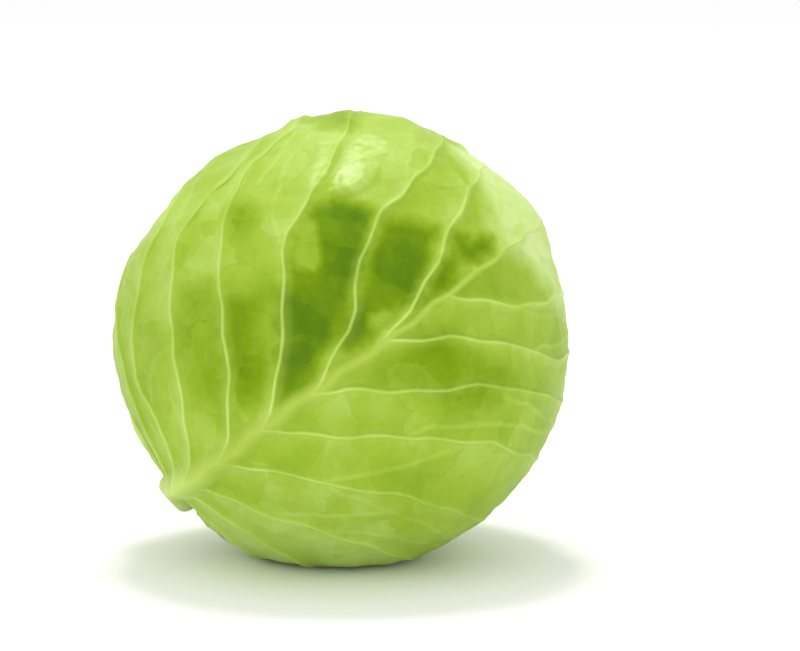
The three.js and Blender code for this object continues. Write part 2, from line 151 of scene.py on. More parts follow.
# Finer veins of the front leaf that leave its side veins or run between them
FRONT_TWIGS = [
    [(-54, -41), (-61, -41), (-70, -44)],
    [(-66, -17), (-67, -13), (-69, -10), (-76, -3), (-84, 3)],
    [(-56, 14), (-58, 19), (-62, 28), (-68, 39)],
    [(-36, 6), (-42, 9), (-47, 12), (-49, 16), (-55, 23), (-57, 27), (-58, 32), (-63, 43)],
    [(-26, 45), (-30, 50), (-33, 56), (-37, 62), (-40, 68)],
    [(-10, 52), (-13, 62), (-19, 74)],
    [(-36, -33), (-38, -45), (-30, -54)],
    [(16, -28), (24, -16), (33, 2)],
    [(16, -47), (26, -35), (38, -20)],
]
WRAPPER_MIDRIB = [
    (0, -83), (0, -78), (1, -74), (1, -69), (2, -61), (2, -49), (2, -35), (1, -19), (0, 3),
    (-1, 29), (-1, 54), (-1, 78),
]
WRAPPER_LEFT_MARGIN = [
    (-8, -83), (-25, -80), (-47, -70), (-66, -52), (-79, -28), (-84, 0), (-78, 29), (-61, 55),
    (-40, 71), (-20, 80), (-8, 84), (-4, 85),
]
WRAPPER_RIGHT_MARGIN = [
    (8, -83), (25, -80), (47, -70), (66, -52), (79, -28), (84, 0), (78, 29), (61, 55),
    (40, 71), (20, 80), (8, 84), (2, 85),
]
WRAPPER_VEINS = ([2.6, 3.6, 4.6, 5.6, 6.6, 7.6, 8.6, 9.6], [2.9, 4.1, 5.1, 6.1, 7.1, 8.1, 9.1, 10])
# The midrib stands out of the outer face: its height and half width from stalk to tip
MIDRIB_HEIGHT = [4.6, 4.2, 3.2, 2.2, 1.4, 1.0, 0.7, 0.5, 0.3]
MIDRIB_HALF_WIDTH = [9.5, 7.4, 5.4, 3.8, 2.6, 1.8, 1.4, 1.1, 1.0]
MIDRIB_BASE, MIDRIB_LENGTH = -81, 165  # where these start along the leaf, and the length they cover
VEIN_HEIGHT = 0.5
VEIN_HALF_WIDTH = 1.0
FORK_FROM = [0.42, 0.6, 0.5, 0.36]  # shares of the way to the margin at which a side vein forks
FORK_TO = 0.97
FORK_SPREAD = 0.5
FORK_HEIGHT = 0.25
FORK_HALF_WIDTH = 1.2
# How finely the leaf's lines are split for measuring distances to them
EDGE_POINTS = 61
VEIN_POINTS = 25
FORK_POINTS = 10
TWIG_POINTS = 6  # for each point that a twig is drawn with
PANEL_HALF_WIDTH = 9.0  # the blade lies flat between veins that stand this far from its middle
PANEL_BEFORE, PANEL_AFTER = 0.08, 1.02  # where the first panel starts before its vein, and the last ends
WANDER = 0.6  # how far the veins wander from their drawn rows
WANDER_FROM, WANDER_FULL = -84, -50
WRAPPER_ARCH = 0.14


def arched_rows(midrib, margin, arch):
    """Rows that all arch alike from the midrib to the margin."""
    rows = []
    for (mx, my), (ex, ey) in zip(midrib, margin):
        bend = arch * math.hypot(ex - mx, ey - my)
        cx, cy = (mx + ex) / 2, (my + ey) / 2 - bend
        way = [((1 - t) ** 2 * mx + 2 * t * (1 - t) * cx + t * t * ex,
                (1 - t) ** 2 * my + 2 * t * (1 - t) * cy + t * t * ey) for t in (1 / 3, 2 / 3)]
        rows.append([(mx, my), *way, (ex, ey)])
    return rows


FRONT_FORM = (FRONT_LEFT, FRONT_RIGHT, FRONT_VEINS, FRONT_TWIGS)
WRAPPER_FORM = (
    arched_rows(WRAPPER_MIDRIB, WRAPPER_LEFT_MARGIN, WRAPPER_ARCH),
    arched_rows(WRAPPER_MIDRIB, WRAPPER_RIGHT_MARGIN, WRAPPER_ARCH),
    WRAPPER_VEINS,
    [],
)


def through(points, share):
    """Places on a smooth curve through evenly spaced points, at shares from the first to the last.
    The points are of one curve for all places, or of a curve for each."""
    at = np.clip(share, 0, 1) * (len(points) - 1)
    low = np.minimum(at.astype(int), len(points) - 2)
    own = (np.arange(len(at)),) if points.ndim == 3 else ()
    p0, p1 = points[(np.maximum(low - 1, 0), *own)], points[(low, *own)]
    p2, p3 = points[(low + 1, *own)], points[(np.minimum(low + 2, len(points) - 1), *own)]
    w = (at - low)[:, None]
    v0, v1 = (p2 - p0) / 2, (p3 - p1) / 2
    return (2 * (p1 - p2) + v0 + v1) * w ** 3 + (3 * (p2 - p1) - 2 * v0 - v1) * w ** 2 + v0 * w + p1


def distance_to(line, p):
    """The nearest distance from each p to a run of points."""
    nearest = np.full(len(p), 1e9)
    for a, b in zip(line[:-1], line[1:]):
        d = b - a
        share = np.clip((p - a) @ d / (d @ d + 1e-12), 0, 1)
        off = p - a - share[:, None] * d
        nearest = np.minimum(nearest, np.hypot(off[:, 0], off[:, 1]))
    return nearest


def is_inside(loop, p):
    inside = np.zeros(len(p), bool)
    for a, b in zip(loop, np.roll(loop, 1, axis=0)):
        if a[1] == b[1]:
            continue
        crosses = (a[1] > p[:, 1]) != (b[1] > p[:, 1])
        inside ^= crosses & (p[:, 0] < (b[0] - a[0]) * (p[:, 1] - a[1]) / (b[1] - a[1]) + a[0])
    return inside


def wandering(p):
    """Small natural bends in a leaf's drawing, none where it grows from the stalk."""
    x, y = p.T
    share = WANDER * smoothstep(WANDER_FROM, WANDER_FULL, y)
    return np.column_stack([
        x + share * np.sin(0.43 * y + 0.13 * x),
        y + share * np.sin(0.37 * x - 0.11 * y),
    ])


class Leaf:
    """One leaf's drawing, and its place round the stalk in degrees from the front."""

    def __init__(self, name, form, around, breadth, reach, ripples):
        self.name = name
        self.ripples = ripples
        angle = math.radians(around)
        self.middle = front * math.cos(angle) + under * math.sin(angle)
        self.across = under * math.cos(angle) - front * math.sin(angle)
        self.nets = [np.array(rows, float) for rows in form[:2]]
        for net in self.nets:
            net[..., 0] *= breadth
            net[..., 1] *= np.where(net[..., 1] > 0, reach, 1)
        last = len(self.nets[0]) - 1
        self.vein_shares = [np.array(v) / last for v in form[2]]
        s = np.linspace(0, 1, EDGE_POINTS)
        self.midrib = self.drawn(0, s, np.zeros(EDGE_POINTS))
        margins = [self.drawn(side, s, np.ones(EDGE_POINTS)) for side in (0, 1)]
        self.edge = np.vstack([margins[0], margins[1][::-1]])
        t = np.linspace(0, 1, VEIN_POINTS)
        self.veins = [self.drawn(side, np.full(VEIN_POINTS, share), t)
                      for side in (0, 1) for share in self.vein_shares[side]]
        twigs = form[3]
        self.forks = [] if twigs else self.forks_of(0, last)
        self.forks += self.forks_of(1, last) + [self.smooth_line(twig) for twig in twigs]

    def forks_of(self, side, last):
        """A fork of each side vein of one side, by turns towards the tip and the stalk."""
        forks = []
        for i, share in enumerate(self.vein_shares[side]):
            start = FORK_FROM[i % len(FORK_FROM)]
            fork = np.linspace(start, FORK_TO, FORK_POINTS)
            spread = np.sqrt((fork - start) / (1 - start)) * FORK_SPREAD / last
            forks.append(self.drawn(side, share + (-1) ** i * spread, fork))
        return forks

    @staticmethod
    def smooth_line(points):
        points = np.array(points, float)
        return through(points, np.linspace(0, 1, TWIG_POINTS * len(points)))

    def drawn(self, side, s, t):
        """Points of the flat drawing at share s from stalk to tip and t from midrib to margin."""
        net = self.nets[side]
        points = np.array([through(net[:, k], s) for k in range(net.shape[1])])
        return wandering(through(points, t))

    def direction_of(self, p):
        """From the flat drawing to directions on the head."""
        far = np.maximum(np.hypot(p[:, 0], p[:, 1]), 1e-9)
        scale = (np.sin(np.radians(far)) / far)[:, None]
        return (np.cos(np.radians(far))[:, None] * self.middle
                + scale * (p[:, :1] * self.across + p[:, 1:] * crown))

    def drawing_of(self, u):
        """From directions on the head back to the flat drawing."""
        x, y = u @ self.across, u @ crown
        scale = degrees_between(u, self.middle) / np.maximum(np.hypot(x, y), 1e-9)
        return np.column_stack([x * scale, y * scale])

    def coverage(self, u):
        """1 under or in the leaf, falling to 0 a little way outside its edge."""
        p = self.drawing_of(u)
        closed_edge = np.vstack([self.edge, self.edge[:1]])
        outside = 1 - smoothstep(COVER_FULL, COVER_GONE, distance_to(closed_edge, p))
        return np.where(is_inside(self.edge, p), 1.0, outside)

    def vein_distance(self, p):
        return MM_PER_DEGREE * np.min([distance_to(v, p) for v in self.veins], axis=0)

    def fork_distance(self, p):
        return MM_PER_DEGREE * np.min([distance_to(v, p) for v in self.forks], axis=0)

    def past_vein(self, side, s):
        """How far s is on its way from one side vein to the next, from 0 to 1."""
        veins = self.vein_shares[side]
        shares = np.concatenate([[veins[0] - PANEL_BEFORE], veins, [PANEL_AFTER]])
        at = np.clip(np.searchsorted(shares, s, side="right") - 1, 0, len(shares) - 2)
        return np.clip((s - shares[at]) / (shares[at + 1] - shares[at]), 0, 1)

    def midrib_distance(self, p):
        return MM_PER_DEGREE * distance_to(self.midrib, p)

    def panel(self, p):
        """The blade pulled flat between its veins, against the round head."""
        away = np.minimum(np.minimum(self.vein_distance(p), self.midrib_distance(p)), PANEL_HALF_WIDTH)
        return -away * (2 * PANEL_HALF_WIDTH - away) / (2 * HEAD_RADIUS)


leaves = [
    Leaf("leaf_1_front", FRONT_FORM, 0, 1, 1, 9),
    Leaf("leaf_2_back", WRAPPER_FORM, -137, 0.95, 1, 7),
    Leaf("leaf_3_under", WRAPPER_FORM, 74, 0.96, 0.95, 8),
    Leaf("leaf_4_top", WRAPPER_FORM, -62, 0.86, 1.03, 6),
    Leaf("leaf_5_rear", WRAPPER_FORM, 158, 0.9, 1.02, 7),
    Leaf("leaf_6_inner", WRAPPER_FORM, 28, 0.8, 1, 5),
]


def level_under(count, u):
    """The head's level along u with the first leaves laid on it, and how bare of them it is there."""
    level = head_radius(u)
    bare = np.ones(len(u))
    free = free_of_seat(u)
    for leaf in leaves[:count]:
        covered = leaf.coverage(u)
        level = level + covered * (leaf.panel(leaf.drawing_of(u)) * bare * free - LEAF_PITCH)
        bare = bare * (1 - covered)
    return level, bare, free


# Tones run from 0, the deepest green, to 1, the palest
MID_TONE = 0.52
CLOUDED = 0.12
CLOUDS_ACROSS, CLOUDS_ALONG, CLOUDS_START = 1.7, 1.3, 40
PALE_BASE = 0.14
PALE_SIDES = 0.12
# Broad washes of tone on the front leaf, partly its own mottling and partly painted light and shade, the
# lightening low down being painted light thrown up from the floor: middle across and along, half widths,
# and change of tone
TONE_AND_LIGHT_WASHES = [
    (-78, -20, 24, 55, 0.08),
    (-52, 48, 22, 24, 0.10),
    (-26, -30, 22, 16, -0.06),
    (44, -50, 36, 20, 0.18),
    (24, -74, 26, 12, 0.26),
    (60, 30, 30, 16, -0.10),
    (-84, 20, 14, 22, -0.10),
]
# Patches of the front leaf with edges that can be seen, as outlines on its drawing: deep green beside the
# midrib, partly its darker green and partly painted shade, pale towards the crown, partly painted light,
# and a glossy panel with a painted highlight
PATCHES = {
    "pale": [
        [(-27, 74), (-16, 68), (-9, 64), (-3, 58), (2, 54), (7, 53), (16, 58), (28, 60), (36, 60), (60, 80),
         (20, 104), (-20, 104)],
    ],
    "shaded": [
        [(-45, -22), (-43, -18), (-42, -15), (-39, -14), (-31, -18), (-23, -24), (-15, -31), (-10, -37),
         (-20, -37), (-31, -33), (-40, -29)],
        [(-35, -14), (-34, -11), (-33, -8), (-33, -4), (-30, -1), (-24, -6), (-17, -12), (-9, -20),
         (-9, -24), (-11, -31), (-19, -27), (-27, -21)],
        [(3, 12), (6, 20), (14, 24), (28, 27), (34, 20), (24, 8), (12, 2), (4, 2)],
        [(-56, 4), (-53, 8), (-48, 6), (-47, 1), (-51, -1)],
        [(-76, 49), (-70, 47), (-64, 46), (-59, 47), (-54, 48), (-54, 53), (-59, 59), (-68, 62)],
    ],
    "deep": [
        [(-39, 20), (-36, 26), (-31, 29), (-26, 32), (-21, 23), (-16, 13), (-9, 0), (-6, -8), (-5, -16),
         (-7, -20), (-14, -12), (-24, -3), (-30, 3), (-34, 9), (-37, 15)],
        [(-23, 31), (-20, 36), (-11, 41), (-8, 35), (-5, 29), (-3, 21), (-3, 14), (-4, 7), (-6, 1), (-9, 6),
         (-15, 15), (-20, 24)],
        [(-34, -14), (-31, -10), (-26, -12), (-21, -17), (-18, -23), (-21, -25), (-28, -20)],
        [(-5, 35), (-2, 38), (1, 33), (2, 27), (0, 25), (-3, 30)],
        [(-8, 43), (-4, 47), (-2, 45), (-1, 49), (2, 53), (4, 48), (1, 41), (-3, 40)],
    ],
    "deepest": [
        [(-26, -2), (-21, 3), (-13, -1), (-9, -7), (-6, -14), (-8, -17), (-15, -11)],
        [(-32, 25), (-28, 28), (-23, 22), (-19, 15), (-14, 9), (-16, 6), (-20, 10), (-25, 17)],
        [(-13, 9), (-10, 14), (-6, 12), (-5, 7), (-6, 3), (-9, 4)],
        [(-13, 30), (-9, 32), (-5, 28), (-3, 22), (-5, 20), (-10, 25)],
    ],
    "plate": [
        [(-36, 11), (-37, 15), (-35, 17), (-31, 15), (-27, 12), (-24, 8), (-28, 5), (-32, 6)],
        [(-8, 10), (-6, 14), (-3, 15), (-3, 10), (-5, 8)],
    ],
    # The glossy panel, which also gets a painted highlight
    "gloss": [
        [(-42, 23), (-44, 23), (-49, 31), (-55, 38), (-53, 41), (-47, 35), (-43, 28)],
        [(-38, 24), (-34, 31), (-33, 37), (-37, 45), (-41, 54), (-47, 53), (-49, 45), (-44, 36), (-41, 29)],
    ],
}
NO_PATCH = -9.0
# The crease below the glossy panel, which stands out over it
CREASE = [(-41, 22), (-38, 24), (-34, 31), (-32, 38)]
CREASE_RISE = 2.0
CREASE_REACH = 8.0
CREASE_STEP = (-0.5, 0.7)  # from below the crease to the panel over it, in degrees
# The fold of the margin that stands up at the top of the head
TONGUE = [(-84, 52), (-76, 47), (-65, 45), (-59, 46), (-54, 48), (-53, 53), (-58, 60), (-66, 66), (-80, 64)]
TONGUE_RISE = 1.7
TONGUE_STEP = (-1.5, 3.0)


def depth_in(outline, p):
    """How far p is inside an outline, below 0 outside it."""
    outline = np.array(outline, float)
    away = distance_to(np.vstack([outline, outline[:1]]), p)
    return np.where(is_inside(outline, p), away, -away)


def patch_depth(leaf, name, p):
    """How far p is inside the nearest patch of one kind, below 0 outside them all."""
    if leaf.name != "leaf_1_front":
        return np.full(len(p), NO_PATCH)
    return np.max([depth_in(outline, p) for outline in PATCHES[name]], axis=0)


def tone_of(leaf, p):
    """The leaf's tone, before its patches and the mottling; on the front leaf its washes are partly painted
    light and shade.
    """
    x, y = p.T
    if leaf.name != "leaf_1_front":
        shade = MID_TONE + CLOUDED * np.cos(np.radians(x * CLOUDS_ACROSS)) * np.sin(
            np.radians(y * CLOUDS_ALONG + CLOUDS_START))
        return shade + PALE_BASE * smoothstep(-60, -80, y) + PALE_SIDES * smoothstep(40, 80, np.abs(x))
    tone = np.full(len(p), MID_TONE)
    # Painted light and shade mixed with the leaf's own mottling
    for across, along, wide, long, change in TONE_AND_LIGHT_WASHES:
        tone += change * np.exp(-(((x - across) / wide) ** 2) - ((y - along) / long) ** 2)
    return tone


def folds_of(leaf, p):
    """The front leaf's two sharp folds: over the crease and at the top."""
    if leaf.name != "leaf_1_front":
        return np.zeros(len(p))
    over = smoothstep(*CREASE_STEP, depth_in(PATCHES["gloss"][1], p))
    crease = CREASE_RISE * over * np.exp(-distance_to(np.array(CREASE, float), p) / CREASE_REACH)
    return crease + TONGUE_RISE * smoothstep(*TONGUE_STEP, depth_in(TONGUE, p))


CROWDING_STEPS = 4001


def crowded(shares, count, pull=3.0, near=0.010):
    """Rows from 0 to 1 that stand closer together at the given shares, with one row on each."""
    fine = np.linspace(0, 1, CROWDING_STEPS)
    density = 1 + pull * np.sum([np.exp(-(((fine - s) / near) ** 2)) for s in shares], axis=0)
    total = np.concatenate([[0], np.cumsum((density[1:] + density[:-1]) / 2)])
    rows = np.interp(np.linspace(0, total[-1], count), total, fine)
    for s in shares:
        rows[np.argmin(np.abs(rows - s))] = s
    return np.sort(rows)


def set_attribute(mesh, name, values):
    attribute = mesh.attributes.new(name, "FLOAT", "POINT")
    attribute.data.foreach_set("value", values.astype(np.float32))


def places_of(mesh):
    places = np.empty(len(mesh.vertices) * 3)
    mesh.vertices.foreach_get("co", places)
    return places.reshape(-1, 3)


def set_places(mesh, places):
    """Move a mesh's points to places in millimetres."""
    mesh.vertices.foreach_set("co", (places * 0.001).ravel())


SIDE_CROWDING = 1.25  # how much closer together the columns stand by the midrib
# Waves of the ragged margin: size as a share of the way to it, waves along it, and shift between leaves
RAGGED = [(0.006, 61, 1), (0.005, 143, 2), (0.004, 229, 0)]
# The midrib sinks into the blade at its sides, as shares of the way to the margin, and near the tip
RIB_FADE = 0.5
RIB_END = (70, 50)
RIB_FOOT = 1.25  # where its flank meets the blade, in its own half widths
VEINS_FADE = (1.0, 0.72)
VEIN_TAPER = (0.45, 0.9)  # shares of a vein's height: all along it, and more by the midrib
PANEL_STEP = 0.45  # each panel drops this far at the vein before it
STEP_WIDTH = 0.1  # as a share of the way to the next vein
STEP_FROM = (0.03, 0.2)  # and sets in at these shares of the way to the margin
PANEL_SHADE = 0.16  # painted shade: each panel grows this much paler from one vein to the next, darkest just past the vein before it
PANEL_SHADE_MIDDLE = 0.55
SHADE_STEP = 0.03
SHADE_FADE = 0.4
BASE_GREEN, BASE_PALE = -40, -84  # where along the leaf its green starts to turn, and is pale
# Puckers between the veins: height, waves across, their bend and its waves, waves along, and shift
PUCKERS = [(0.25, 0.55, 1.7, 0.21, 0.47, 1), (0.4, 0.23, 1.5, 0.17, 0.29, 2)]
PUCKERED = (1.0, 6.0)  # they set in at this distance from a vein, in millimetres
MARGIN_LIFT = 2.4  # how far the ripples of the margin rise
MARGIN_TUCK = 1.7  # and how far down the margin lies between them
RIGHT_SHIFT = 1.1
RIPPLED = (0.84, 1)
RIPPLES_START = (0.1, 0.3)
CALM_RIGHT = (0.55, 0.7)  # the right margin lies close up to here
UV_SCALE = 0.01


def relief_of(leaf, p, t, from_vein, from_fork, past):
    """What the midrib, veins, forks and panel steps add to a blade, and the share of midrib in it."""
    along = np.clip((p[:, 1] - MIDRIB_BASE) / MIDRIB_LENGTH, 0, 1) * (len(MIDRIB_HEIGHT) - 1)
    stations = np.arange(len(MIDRIB_HEIGHT))
    rib_height = np.interp(along, stations, MIDRIB_HEIGHT)
    rib_width = np.interp(along, stations, MIDRIB_HALF_WIDTH)
    rib = (1 - smoothstep(0, RIB_FOOT, leaf.midrib_distance(p) / rib_width)) * smoothstep(1, RIB_FADE, t)
    rib *= smoothstep(*RIB_END, p[:, 1])
    fade = smoothstep(*VEINS_FADE, t)
    step = -PANEL_STEP * smoothstep(0, STEP_WIDTH, past) * (1 - past) * smoothstep(*STEP_FROM, t) * fade
    tapered = VEIN_HEIGHT * (VEIN_TAPER[0] + VEIN_TAPER[1] * (1 - t))
    ridge = tapered * np.exp(-((from_vein / VEIN_HALF_WIDTH) ** 2)) * fade
    ridge = np.maximum(ridge, FORK_HEIGHT * np.exp(-((from_fork / FORK_HALF_WIDTH) ** 2)) * fade)
    return np.maximum(rib_height * rib, ridge) + step + folds_of(leaf, p), rib


def puckers_of(order, p, clear):
    x, y = p.T
    height = sum(rise * np.sin(across * x + bend * np.sin(bends * y)) * np.sin(along * y + shift * order)
                 for rise, across, bend, bends, along, shift in PUCKERS)
    return height * smoothstep(*PUCKERED, clear)


def margin_lift(leaf, order, s, t, left, bare, free):
    """How the rippled margin stands off the leaf under it, or is tucked down to it."""
    ripple = 0.5 + 0.5 * np.sin(2 * np.pi * leaf.ripples * s + np.where(left, 0, RIGHT_SHIFT) + order)
    margin = smoothstep(*RIPPLED, t) * bare ** 2 * free * smoothstep(*RIPPLES_START, s)
    calm = np.where(left, 1, smoothstep(*CALM_RIGHT, s))
    return margin * (MARGIN_LIFT * ripple * calm - MARGIN_TUCK)


def give_skin_values(mesh, values, p):
    """What the skin reads from the blade: values at its points, and its flat drawing as a UV map."""
    for name, value in values.items():
        set_attribute(mesh, name, value)
    corner = np.empty(len(mesh.loops), int)
    mesh.loops.foreach_get("vertex_index", corner)
    mesh.uv_layers[0].data.foreach_set("uv", (p[corner] * MM_PER_DEGREE * UV_SCALE).ravel())
    mesh.update()


def make_leaf(order, row_count, column_count):
    leaf = leaves[order]
    bpy.ops.object.select_all(action="DESELECT")
    bpy.ops.mesh.primitive_grid_add(
        x_subdivisions=2 * column_count, y_subdivisions=row_count - 1, size=2, calc_uvs=True)
    blade = bpy.context.object
    blade.name = leaf.name + "_blade"
    blade.data.name = blade.name
    flat = places_of(blade.data)

    row = np.rint((flat[:, 1] + 1) / 2 * (row_count - 1)).astype(int)
    column = np.rint((flat[:, 0] + 1) * column_count).astype(int) - column_count
    s = crowded(np.unique(np.round(np.concatenate(leaf.vein_shares), 4)), row_count)[row]
    t = (np.abs(column) / column_count) ** SIDE_CROWDING
    ragged = sum(size * np.sin(waves * s + shift * order) for size, waves, shift in RAGGED)
    reach = t * (1 + ragged * t ** 6)
    left = column < 0
    p = np.where(left[:, None], leaf.drawn(0, s, reach), leaf.drawn(1, s, reach))

    u = leaf.direction_of(p)
    level, bare, free = level_under(order, u)
    from_vein = leaf.vein_distance(p)
    from_fork = leaf.fork_distance(p)
    past = np.where(left, leaf.past_vein(0, s), leaf.past_vein(1, s))
    relief, rib = relief_of(leaf, p, t, from_vein, from_fork, past)
    puckers = puckers_of(order, p, np.minimum(from_vein, leaf.midrib_distance(p)))
    lift = margin_lift(leaf, order, s, t, left, bare, free)
    face = level + (leaf.panel(p) + relief + puckers) * bare * free + lift
    place = u * face[:, None]
    place[:, 2] = np.maximum(place[:, 2] + CENTRE_HEIGHT, 0)
    set_places(blade.data, place)

    # Painted shade across each panel, darkest just past the vein before it, as if that vein's ridge shaded
    # it
    shade = PANEL_SHADE * (past - PANEL_SHADE_MIDDLE) * smoothstep(0, SHADE_STEP, past)
    values = {
        "tone": tone_of(leaf, p) + shade * (1 - SHADE_FADE * t),
        "fork": from_fork,
        "vein": from_vein,
        "rib": rib,
        "margin": t,
        "base": smoothstep(BASE_GREEN, BASE_PALE, p[:, 1]),
    }
    values |= {name: patch_depth(leaf, name, p) for name in PATCHES}
    give_skin_values(blade.data, values, p)

    wall = blade.modifiers.new("blade_thickness", "SOLIDIFY")
    wall.thickness = BLADE_THICKNESS * 0.001
    wall.offset = -1
    bpy.ops.object.modifier_apply(modifier=wall.name)
    bpy.ops.object.shade_smooth()
    return blade


# The waxy skin of a leaf: green in soft mottled tones with painted light and shade in its patches, pale
# veins and midrib with a fine net between them, and a dull bloom that breaks up the gloss.
leaf_skin = bpy.data.materials.new("waxy_leaf")
leaf_skin.use_nodes = True
# What each kind of patch turns the tone to, and how soft its edge is, in degrees; the deep and shaded tones
# are partly painted shade, and the pale one partly painted light
PATCH_TONES = {
    "pale": (0.86, 4.5),
    "shaded": (0.30, 3.6),
    "deep": (0.14, 2.6),
    "deepest": (0.04, 4.0),
    "plate": (0.42, 1.2),
}
# The painted highlight on the glossy panel: its tone, and the softness of the panel's edge
PAINTED_HIGHLIGHT_TONE, GLOSS_BLUR = 0.9, 0.8
EDGE_WANDER = 4.0  # how far the edges of the patches wander, in degrees
# Colours along the tones of the blade, the veins and the midrib, of 255
BLADE_GREENS = [
    (0.03, (82, 116, 0)), (0.25, (114, 146, 0)), (0.52, (147, 175, 54)),
    (0.8, (177, 203, 108)), (1.0, (198, 218, 148)),
]
VEIN_GREENS = [(0.3, (166, 196, 80)), (0.7, (192, 216, 116))]
RIB_GREENS = [(0.0, (162, 187, 76)), (0.5, (184, 210, 104)), (1.0, (190, 211, 118))]
# Half widths of the lines that the skin draws on the blade, in millimetres
VEIN_CORE = 1.0
VEIN_HALO = 4.2
TWIG_CORE = 1.7


def build_leaf_skin(material):
    nodes, links = material.node_tree.nodes, material.node_tree.links
    shader = nodes["Principled BSDF"]

    def attribute(name):
        node = nodes.new("ShaderNodeAttribute")
        node.attribute_name = name
        return node.outputs["Fac"]

    def math_node(operation, a, b=0.0, c=0.0, clamp=False):
        node = nodes.new("ShaderNodeMath")
        node.operation = operation
        node.use_clamp = clamp
        for socket, value in zip(node.inputs, (a, b, c)):
            if isinstance(value, (int, float)):
                socket.default_value = value
            else:
                links.new(value, socket)
        return node.outputs[0]

    def ramp(value, stops):
        node = nodes.new("ShaderNodeValToRGB")
        while len(node.color_ramp.elements) < len(stops):
            node.color_ramp.elements.new(0.5)
        for element, (position, colour) in zip(node.color_ramp.elements, stops):
            element.position = position
            element.color = (*[pow(c / 255, 2.2) for c in colour], 1)
        links.new(value, node.inputs["Fac"])
        return node.outputs["Color"]

    def mix(factor, a, b):
        node = nodes.new("ShaderNodeMix")
        node.data_type = "RGBA"
        links.new(factor, node.inputs["Factor"])
        # inputs 6 and 7 are its two colours
        links.new(a, node.inputs[6])
        links.new(b, node.inputs[7])
        return node.outputs[2]

    def noise(scale, detail, vector):
        node = nodes.new("ShaderNodeTexNoise")
        node.inputs["Scale"].default_value = scale
        node.inputs["Detail"].default_value = detail
        links.new(vector, node.inputs["Vector"])
        return node.outputs["Fac"]

    place = nodes.new("ShaderNodeTexCoord")
    on_object = place.outputs["Object"]
    drawing = place.outputs["UV"]

    cloud = noise(45, 3, on_object)
    speckle = noise(260, 2, on_object)
    edge_noise = math_node("MULTIPLY_ADD", noise(120, 3, on_object), EDGE_WANDER, -EDGE_WANDER / 2)

    def patch(name, blur):
        """1 inside the named patches and 0 outside, with a ragged edge."""
        depth = math_node("ADD", attribute(name), edge_noise)
        return math_node("DIVIDE", math_node("ADD", depth, blur), 2 * blur, clamp=True)

    def toward(tone, target, share):
        return math_node("MULTIPLY_ADD", math_node("SUBTRACT", target, tone), share, tone)

    def varied(tone, value, size):
        """The tone changed by a value that lies round a half."""
        return math_node("MULTIPLY_ADD", math_node("SUBTRACT", value, 0.5), size, tone)

    def line(distance, width):
        """1 on a line and 0 from the given distance on."""
        return math_node("SUBTRACT", 1, math_node("DIVIDE", distance, width), clamp=True)

    # The fine net of the smallest veins is drawn on bent ground, so that it isn't straight
    wander = nodes.new("ShaderNodeTexNoise")
    wander.inputs["Scale"].default_value = 9
    links.new(drawing, wander.inputs["Vector"])
    bent = nodes.new("ShaderNodeVectorMath")
    bent.operation = "MULTIPLY_ADD"
    bent.inputs[1].default_value = (0.11, 0.11, 0)
    links.new(wander.outputs["Color"], bent.inputs[0])
    links.new(drawing, bent.inputs[2])

    def cells(scale, feature):
        node = nodes.new("ShaderNodeTexVoronoi")
        node.feature = feature
        node.inputs["Scale"].default_value = scale
        links.new(bent.outputs[0], node.inputs["Vector"])
        return node

    net_line = line(cells(13, "DISTANCE_TO_EDGE").outputs["Distance"], 0.09)
    fine_line = line(cells(38, "DISTANCE_TO_EDGE").outputs["Distance"], 0.12)
    plate_tone = nodes.new("ShaderNodeSeparateColor")
    links.new(cells(7, "F1").outputs["Color"], plate_tone.inputs[0])

    # The leaf's own greens, with the painted light and shade of the patches laid over them
    tone = attribute("tone")
    for name, (target, blur) in PATCH_TONES.items():
        tone = toward(tone, target, patch(name, blur))
    # The glossy panel is smoother, and is painted nearly white in streaks as a painted highlight
    glossy = patch("gloss", GLOSS_BLUR)
    highlight_streaks = math_node("MULTIPLY_ADD", speckle, 1.2, -0.25)
    tone = toward(tone, PAINTED_HIGHLIGHT_TONE, math_node("MULTIPLY", glossy, highlight_streaks))
    tone = varied(tone, cloud, 0.30)
    tone = varied(tone, speckle, 0.10)
    tone = varied(tone, plate_tone.outputs[0], 0.09)
    tone = math_node("MULTIPLY_ADD", net_line, 0.02, tone)
    tone = math_node("MULTIPLY_ADD", fine_line, 0.012, tone)

    vein = attribute("vein")
    core = line(vein, VEIN_CORE)
    halo = line(vein, VEIN_HALO)
    twig = line(attribute("fork"), TWIG_CORE)
    slender = math_node("SUBTRACT", 1.15, attribute("margin"), clamp=True)
    vein_share = math_node("MULTIPLY_ADD", core, 0.75, math_node("MULTIPLY", halo, 0.2))
    vein_share = math_node("MULTIPLY", vein_share, slender, clamp=True)
    vein_share = math_node("MAXIMUM", vein_share, math_node("MULTIPLY", twig, 0.34))
    colour = mix(vein_share, ramp(tone, BLADE_GREENS), ramp(cloud, VEIN_GREENS))
    rib_share = math_node("MULTIPLY", attribute("rib"), 0.85)
    colour = mix(rib_share, colour, ramp(attribute("base"), RIB_GREENS))
    links.new(colour, shader.inputs["Base Color"])

